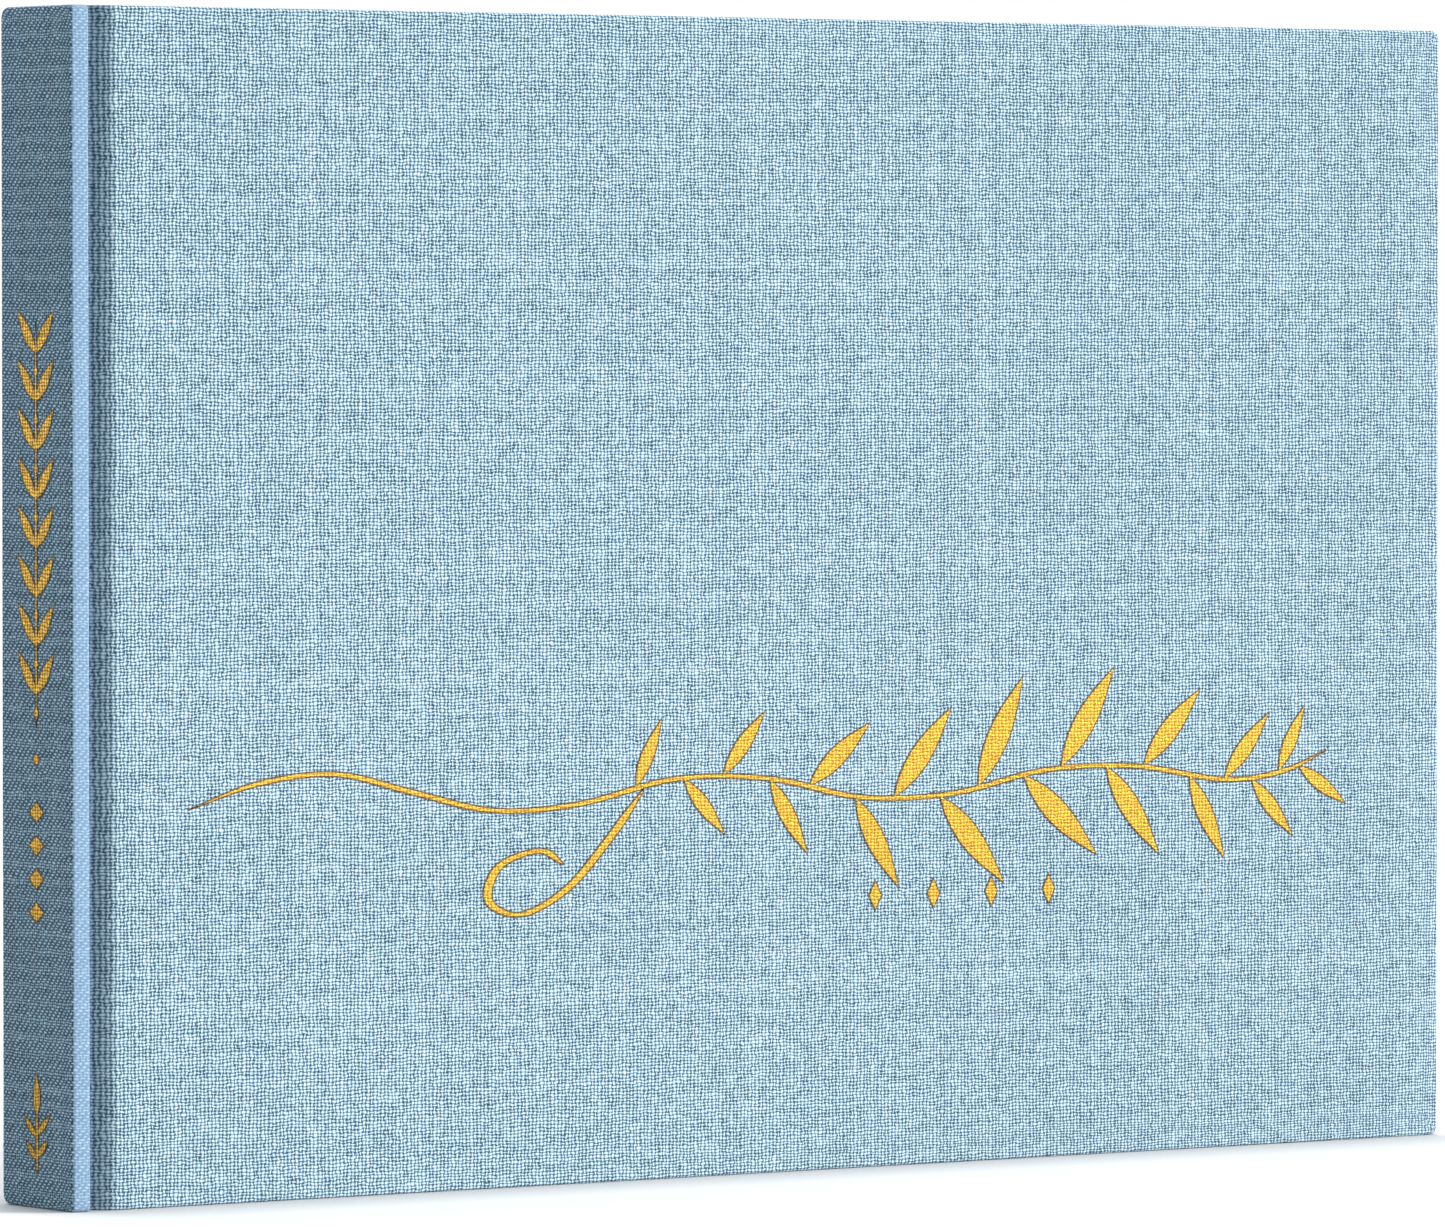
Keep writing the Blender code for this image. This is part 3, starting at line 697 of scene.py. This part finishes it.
def make_section(number, dice):
    """A section: three sheets folded one inside another, cut a hair unevenly at their edges."""
    name = f"section_{number:02d}"
    low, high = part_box(name)
    half = (high.y - low.y) / 2
    fold = Vector((low.x + FOLD_RADIUS, (low.y + high.y) / 2))
    shape = bmesh.new()
    for sheet in range(SHEETS):
        width = half * (1 - sheet / SHEETS)
        length = high.x - fold.x - dice.uniform(0.0, LONGEST_TRIM)
        z_low = low.z + dice.uniform(0.0, TALLEST_TRIM)
        z_high = high.z - dice.uniform(0.0, TALLEST_TRIM)
        folded_sheet(shape, fold, width, length, z_low, z_high)
    bmesh.ops.recalc_face_normals(shape, faces=shape.faces)
    pages = mesh_object(f"{name}_pages", shape)
    dress(pages, PAGE)
    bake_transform(pages)
    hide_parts(name)


def thin_sheet(name, x_low, x_high, y_low, y_high, z_low, z_high):
    """A sheet of paper with points close together at its bound edge."""
    length = x_high - x_low
    stations = [x_low] + [x_low + reach for reach in page_reaches(length)]
    outline = [(x, y_low) for x in stations] + [(x, y_high) for x in reversed(stations)]
    return ribbon(name, outline, [(z_low, 0.0), (z_high, 0.0)], lambda co: (co.x, co.z))


def make_endpapers(label):
    low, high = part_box(f"{label}_flyleaf")
    leaf = thin_sheet(f"{label}_endpaper_leaf", low.x, high.x, low.y, high.y, low.z, high.z)
    dress(leaf, ENDPAPER)
    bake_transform(leaf)
    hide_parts(f"{label}_flyleaf")

    low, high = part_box(f"{label}_pastedown")
    paste = thin_sheet(f"{label}_endpaper_pasted", low.x, high.x, low.y, high.y, low.z, high.z)
    dress(paste, ENDPAPER)
    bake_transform(paste)
    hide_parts(f"{label}_pastedown")


# ---------------------------------------------------------------- foil and bands

def rim_of(shape, tops, out):
    """A line of painted shade just inside the outline of the top faces, lying on them."""
    inward = {}
    edges = []
    for face in tops:
        for loop in face.loops:
            if sum(other in tops for other in loop.edge.link_faces) > 1:
                continue
            first = loop.vert
            second = loop.link_loop_next.vert
            across = out.cross((second.co - first.co).normalized())
            edges.append((first, second))
            for vert in (first, second):
                inward.setdefault(vert, []).append(across)
    lines = {}
    for vert, directions in inward.items():
        middle = sum(directions, Vector())
        if middle.length < 1e-6:
            middle = directions[0].copy()
        middle.normalize()
        reach = FOIL_RIM_WIDTH / max(middle.dot(directions[0]), 0.5)
        raised = vert.co + out * RIM_LIFT
        lines[vert] = (shape.verts.new(raised), shape.verts.new(raised + middle * reach))
    for first, second in edges:
        strip = shape.faces.new((lines[first][0], lines[second][0], lines[second][1], lines[first][1]))
        strip.normal_update()
        if strip.normal.dot(out) < 0:
            strip.normal_flip()
        strip.material_index = 1


def make_foil(node_name, body, out):
    """A stamped shape with a painted shade along its rim, where the hot die pressed the cloth down."""
    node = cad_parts[node_name]
    shape = bmesh.new()
    shape.from_mesh(node.data)
    bmesh.ops.transform(shape, matrix=node.matrix_world, verts=shape.verts)
    bmesh.ops.remove_doubles(shape, verts=shape.verts, dist=1e-7)
    shape.normal_update()
    tops = {}
    for face in shape.faces:
        facing = face.normal.dot(out) > 0.9
        # The foil's sides take the painted shade as well
        face.material_index = 0 if facing else 1
        if facing:
            tops[face] = True
    rim_of(shape, tops, out)
    piece = mesh_object(f"{node_name}_foil", shape)
    piece.data.shade_flat()
    piece.data.materials.append(FOIL)
    piece.data.materials.append(FOIL_PAINTED_SHADE)
    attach(piece, body)
    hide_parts(node_name)


def wraps_group():
    """Rings of thread in a row: two colours in turn, a few rings of each."""
    tree = bpy.data.node_groups.new("thread_wraps", "GeometryNodeTree")
    face = tree.interface
    for label, kind, default in (
        ("Start", VECTOR, (0.0, 0.0, 0.0)), ("Spacing", FLOAT, 0.4 * MM), ("Count", "NodeSocketInt", 30),
        ("Radius", FLOAT, 0.8 * MM), ("Thread", FLOAT, 0.2 * MM), ("Stripe", "NodeSocketInt", 3),
        ("First", "NodeSocketMaterial", None), ("Second", "NodeSocketMaterial", None),
    ):
        socket = face.new_socket(label, in_out="INPUT", socket_type=kind)
        if default is not None:
            socket.default_value = default
    face.new_socket("Geometry", in_out="OUTPUT", socket_type="NodeSocketGeometry")
    nodes = Nodes(tree)
    given = tree.nodes.new("NodeGroupInput").outputs
    sink = tree.nodes.new("NodeGroupOutput").inputs
    step = nodes.add("ShaderNodeCombineXYZ", {"Y": given["Spacing"]}).outputs[0]
    line = nodes.add("GeometryNodeMeshLine", {"Count": given["Count"], "Start Location": given["Start"],
                                             "Offset": step}).outputs[0]
    circle = "GeometryNodeCurvePrimitiveCircle"
    ring = nodes.add(circle, {"Radius": given["Radius"], "Resolution": 20}).outputs[0]
    strand = nodes.add(circle, {"Radius": given["Thread"], "Resolution": 6}).outputs[0]
    wrap = nodes.add("GeometryNodeCurveToMesh", {"Curve": ring, "Profile Curve": strand}).outputs[0]
    turn = (math.radians(90), 0.0, math.radians(7))
    values = {"Points": line, "Instance": wrap, "Rotation": turn}
    placed = nodes.add("GeometryNodeInstanceOnPoints", values).outputs[0]
    number = nodes.add("GeometryNodeInputIndex").outputs[0]
    block = nodes.math("FLOOR", nodes.math("DIVIDE", number, given["Stripe"]))
    odd = nodes.math("MODULO", block, 2.0)
    values = {"Geometry": placed, "Name": "stripe"}
    marked = nodes.add("GeometryNodeStoreNamedAttribute", values, domain="INSTANCE")
    nodes.feed(marked.inputs["Value"], odd)
    solid = nodes.add("GeometryNodeRealizeInstances", (marked.outputs[0],)).outputs[0]
    first = nodes.add("GeometryNodeSetMaterial", {"Geometry": solid, "Material": given["First"]}).outputs[0]
    stripe = nodes.add("GeometryNodeInputNamedAttribute", {"Name": "stripe"}).outputs[0]
    chosen = nodes.add("FunctionNodeCompare", {0: stripe, 1: 0.5}, operation="GREATER_THAN").outputs[0]
    values = {"Geometry": first, "Selection": chosen, "Material": given["Second"]}
    second = nodes.add("GeometryNodeSetMaterial", values).outputs[0]
    nodes.feed(sink[0], nodes.add("GeometryNodeSetShadeSmooth", (second,)).outputs[0])
    return tree


def applied(name, tree, settings):
    """The mesh that a Geometry Nodes tree makes with these inputs, as a plain object."""
    carrier = bpy.data.objects.new(f"{name}_source", bpy.data.meshes.new(name))
    bpy.context.scene.collection.objects.link(carrier)
    modifier = carrier.modifiers.new("nodes", "NODES")
    modifier.node_group = tree
    for item in tree.interface.items_tree:
        if item.in_out == "INPUT" and item.name in settings:
            modifier[item.identifier] = settings[item.name]
    graph = bpy.context.evaluated_depsgraph_get()
    mesh = bpy.data.meshes.new_from_object(carrier.evaluated_get(graph))
    bpy.data.objects.remove(carrier, do_unlink=True)
    obj = bpy.data.objects.new(name, mesh)
    bpy.context.scene.collection.objects.link(obj)
    return obj


def make_band(node_name, wraps):
    """A headband: thread in two colours wound over a cord, with the tape that glues it to the block."""
    low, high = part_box(node_name)
    at_head = low.z > HEIGHT / 2
    radius = (high.x - low.x) / 2
    middle_x = (low.x + high.x) / 2
    count = int((high.y - low.y - 4 * BAND_STRAND) / BAND_SPACING)
    centre_z = high.z - radius if at_head else low.z + radius
    settings = {
        "Start": (middle_x, -BAND_SPACING * (count - 1) / 2, centre_z), "Spacing": BAND_SPACING,
        "Count": count, "Radius": radius - BAND_STRAND, "Thread": BAND_STRAND, "Stripe": BAND_STRIPE,
        "First": BAND_WHITE, "Second": BAND_BLUE,
    }
    band = applied(f"{node_name}_wraps", wraps, settings)
    tape = bmesh.new()
    tape_low = Vector((low.x, low.y, low.z if at_head else centre_z))
    tape_high = Vector((low.x + BAND_TAPE, high.y, centre_z if at_head else high.z))
    size = tape_high - tape_low
    middle = Matrix.Translation((tape_low + tape_high) / 2)
    bmesh.ops.create_cube(tape, size=1.0, matrix=middle @ Matrix.Diagonal((*size, 1.0)))
    backing = dress(mesh_object(f"{node_name}_tape", tape), GAUZE)
    for piece in (band, backing):
        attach(piece, "spine")
        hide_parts(node_name)


# ---------------------------------------------------------------- floor, light and camera

CONTACT_REACH = 20 * MM
FLOOR_SEEN = (0.86, 0.81, 0.78, 1.0)
FLOOR_PAINTED_SHADOW = (0.50, 0.485, 0.475, 1.0)
FLOOR_BOUNCE = (0.34, 0.34, 0.34, 1.0)
CAMERA_TURN = 35.57
CAMERA_TILT = 1.611


def make_floor():
    """A pale round table top: white to look at, with a painted contact shadow close to the book, and greyer
    in what it casts.
    """
    shape = bmesh.new()
    bmesh.ops.create_circle(shape, cap_ends=True, segments=96, radius=0.9)
    floor = mesh_object("floor", shape)
    surface, nodes, shader = new_material("pale_floor", 0.9)
    seen = nodes.add("ShaderNodeLightPath").outputs["Is Camera Ray"]
    # Painted contact shadow: the colour seen darkens close to the book, by ambient occlusion
    near = nodes.add("ShaderNodeAmbientOcclusion", {"Distance": CONTACT_REACH}, samples=8).outputs["AO"]
    pale = nodes.mix(nodes.ramp(near, 0.45, 1.0), FLOOR_PAINTED_SHADOW, FLOOR_SEEN)
    nodes.feed(shader.inputs["Base Color"], nodes.mix(seen, FLOOR_BOUNCE, pale))
    dress(floor, surface)


def make_light(name, place, target, size, watts, colour=(1.0, 1.0, 1.0)):
    lamp = bpy.data.lights.new(name, "AREA")
    lamp.shape = "RECTANGLE"
    lamp.size = size[0]
    lamp.size_y = size[1]
    lamp.energy = watts
    lamp.color = colour
    obj = bpy.data.objects.new(name, lamp)
    obj.location = place
    obj.rotation_euler = (Vector(target) - Vector(place)).to_track_quat("-Z", "Y").to_euler()
    bpy.context.scene.collection.objects.link(obj)


def make_world(seen, cast):
    """White all round: as bright as paper to look at, and a soft fill where it lights the book."""
    world = bpy.data.worlds.new("studio")
    world.use_nodes = True
    nodes = Nodes(world.node_tree)
    background = world.node_tree.nodes["Background"]
    looked_at = nodes.add("ShaderNodeLightPath").outputs["Is Camera Ray"]
    tint = nodes.mix(looked_at, (0.70, 0.97, 1.16, 1.0), (1.0, 1.0, 1.0, 1.0))
    nodes.feed(background.inputs["Color"], tint)
    nodes.feed(background.inputs["Strength"], nodes.ramp(looked_at, 0.0, 1.0, cast, seen))
    bpy.context.scene.world = world


def make_camera():
    """Far off to the front left, a little above the middle of the book and looking slightly down."""
    turn = math.radians(CAMERA_TURN)
    ahead = Vector((math.sin(turn), math.cos(turn), 0.0))
    right = Vector((math.cos(turn), -math.sin(turn), 0.0))
    corner = Vector((SPINE_X, -OUTER, 0.0))
    away = 8.887 * HEIGHT
    aside = -0.538 * HEIGHT
    lens = bpy.data.cameras.new("camera")
    lens.lens = 267.8
    lens.sensor_width = 36.0
    lens.clip_start = 0.05
    camera = bpy.data.objects.new("camera", lens)
    camera.location = corner - ahead * away - right * aside + Vector((0.0, 0.0, 0.7467 * HEIGHT))
    camera.rotation_euler = (math.radians(90 - CAMERA_TILT), 0.0, -turn)
    bpy.context.scene.collection.objects.link(camera)
    bpy.context.scene.camera = camera


# ---------------------------------------------------------------- putting it together

make_camera()
make_floor()
make_world(1.0, 0.40)
make_light("key", (3.2, -2.35, 1.55), (0.0, 0.0, 0.09), (1.9, 1.9), 265.0)
make_light("low_fill", (-0.16, -0.38, 0.02), (-0.10, 0.0, 0.02), (0.4, 0.03), 0.65)
make_light("spine_card", (-0.85, 0.98, 0.16), (SPINE_X, 0.0, 0.09), (0.5, 0.5), 2.2)
make_light("overhead", (0.0, 0.2, 2.0), (0.0, 0.2, 0.0), (2.0, 2.0), 26.0)
make_light("back_fill", (0.6, 2.2, 1.3), (0.0, 0.0, 0.09), (1.8, 1.8), 30.0)
bpy.context.scene.view_settings.view_transform = "Standard"

for label, side in (("front", -1), ("back", 1)):
    make_cover_cloth(label, side)
    make_endpapers(label)
make_spine_cloth()
DICE = random.Random(12)
for section_number in range(1, SECTIONS + 1):
    make_section(section_number, DICE)

PLAIN_NODES = (
    ("front_board", CARD), ("back_board", CARD), ("spine_board", CARD), ("spine_lining", KRAFT),
    ("mull", GAUZE), ("front_mull_flange", GAUZE), ("back_mull_flange", GAUZE),
    ("sewing_thread", THREAD),
)
WRAPS = wraps_group()
make_band("headband", WRAPS)
make_band("tailband", WRAPS)
for node_name, surface in PLAIN_NODES:
    dress(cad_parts[node_name], surface)
for node_name in list(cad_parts):
    if node_name.startswith(("front_flourish", "front_lozenge")):
        make_foil(node_name, "front_cover", Vector((0.0, -1.0, 0.0)))
    elif node_name.startswith(("spine_vine", "spine_bud", "spine_dot", "spine_lozenge")):
        make_foil(node_name, "spine", Vector((-1.0, 0.0, 0.0)))
